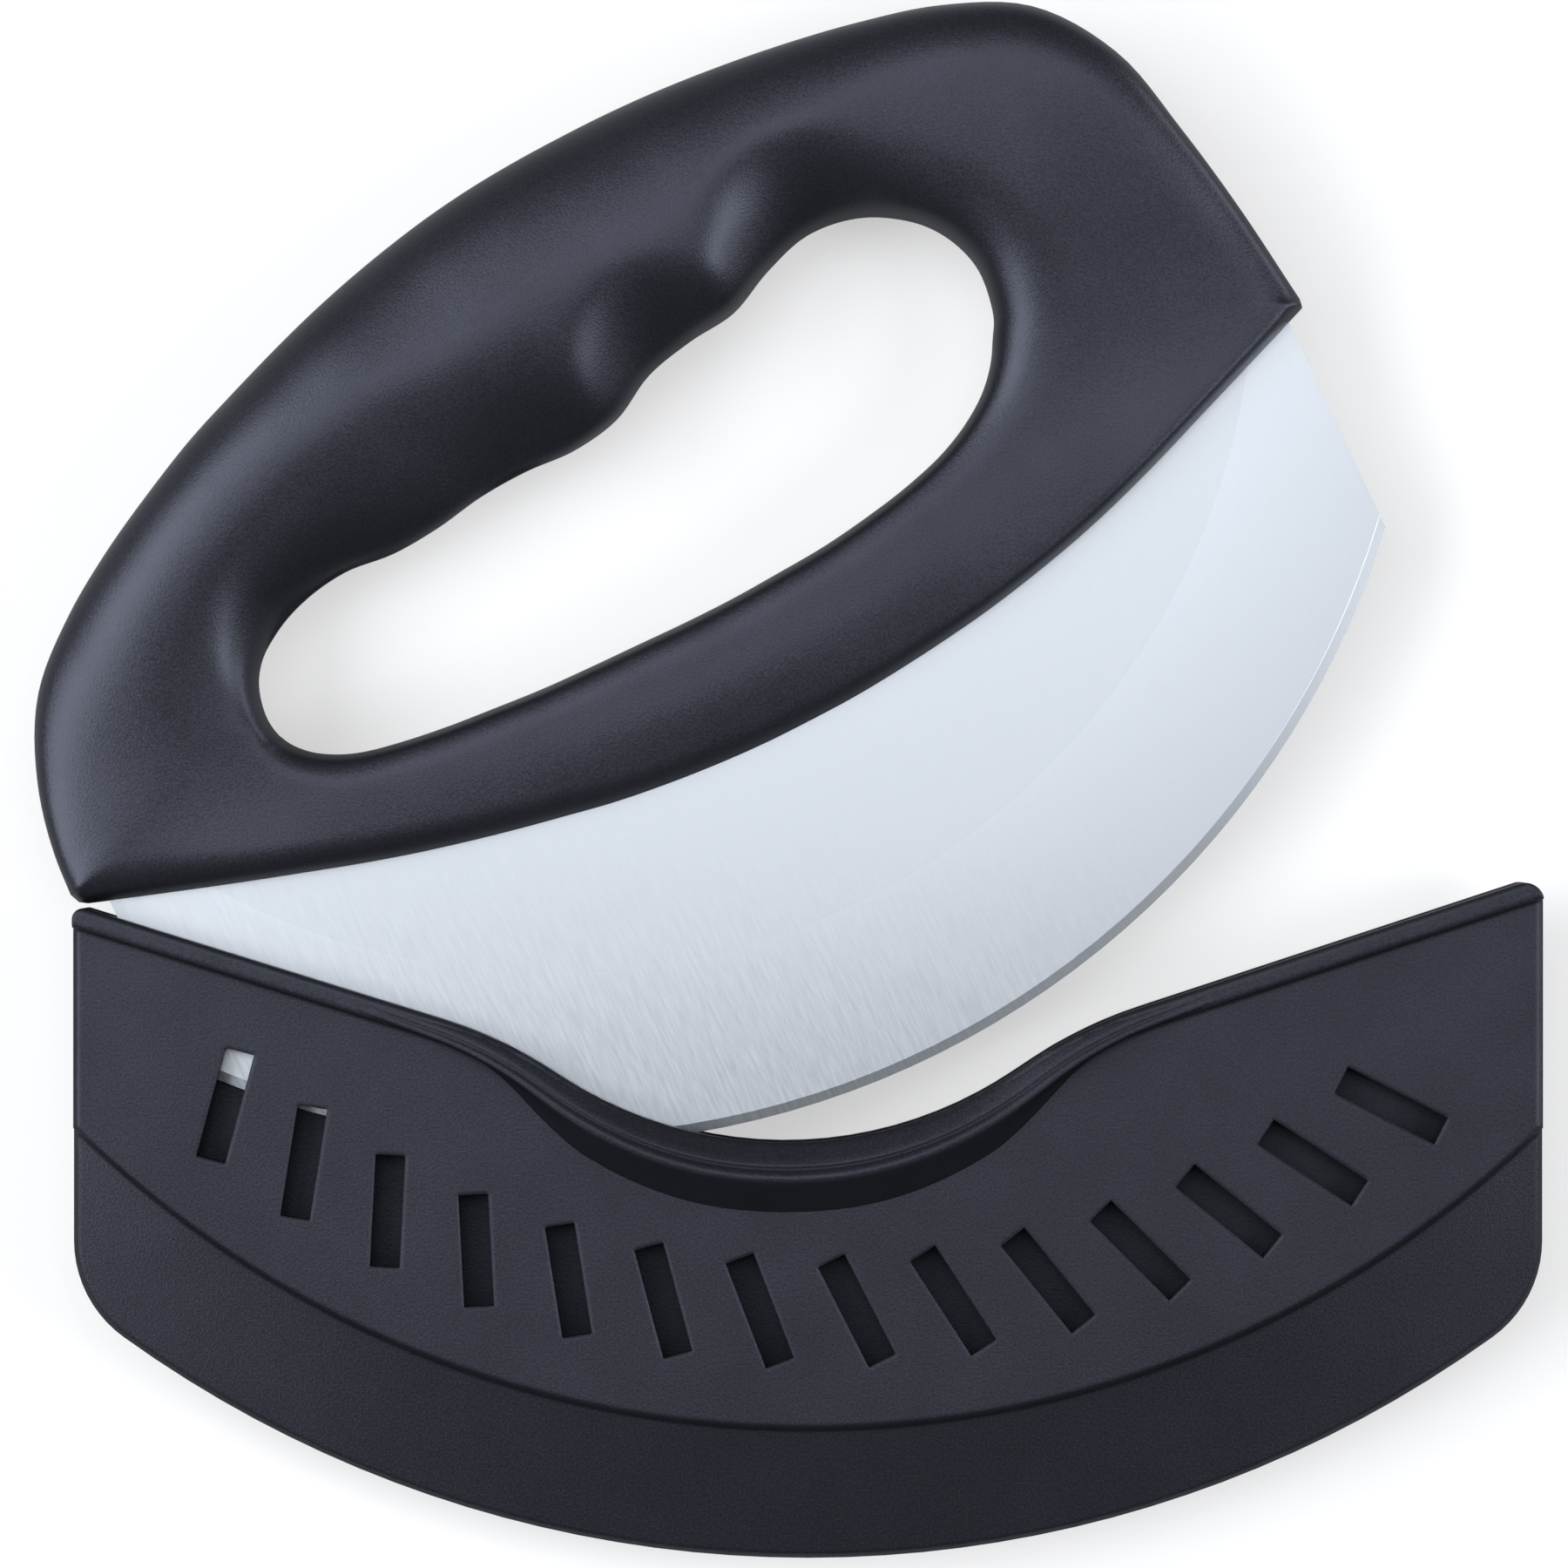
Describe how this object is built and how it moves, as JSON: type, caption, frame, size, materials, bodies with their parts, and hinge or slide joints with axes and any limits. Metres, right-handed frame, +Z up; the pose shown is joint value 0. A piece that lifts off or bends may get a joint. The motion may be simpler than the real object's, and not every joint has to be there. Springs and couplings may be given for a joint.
{
  "type": "rocking pizza knife",
  "caption": "Rocking pizza knife with a curved steel blade, a loop handle with finger hollows, and a slotted plastic blade sheath.",
  "frame": {"origin": "centre of the bounding box in X and Y, at its lowest point in Z", "axes": "lying flat as pictured from above: +X to the picture's right, +Y to its top, +Z up through the thickness towards the camera"},
  "size_m": [0.2026, 0.2086, 0.024],
  "materials": {
    "blade_steel": "satin ground, fine lines square to the edge",
    "handle_plastic": "charcoal, fine spark-eroded texture",
    "sheath_plastic": "charcoal, fine spark-eroded texture"
  },
  "bodies": {
    "knife": {"blade": "blade_steel", "handle": "handle_plastic"},
    "sheath": {"sheath_front": "sheath_plastic", "sheath_back": "sheath_plastic"}
  },
  "joints": [
    {"name": "sheath_swing", "type": "hinge", "parent": "knife", "child": "sheath", "pos_m": [-0.09426, -0.01479, 0.01201], "axis": [0, 0, 1], "range_deg": [-60, 25]}
  ]
}
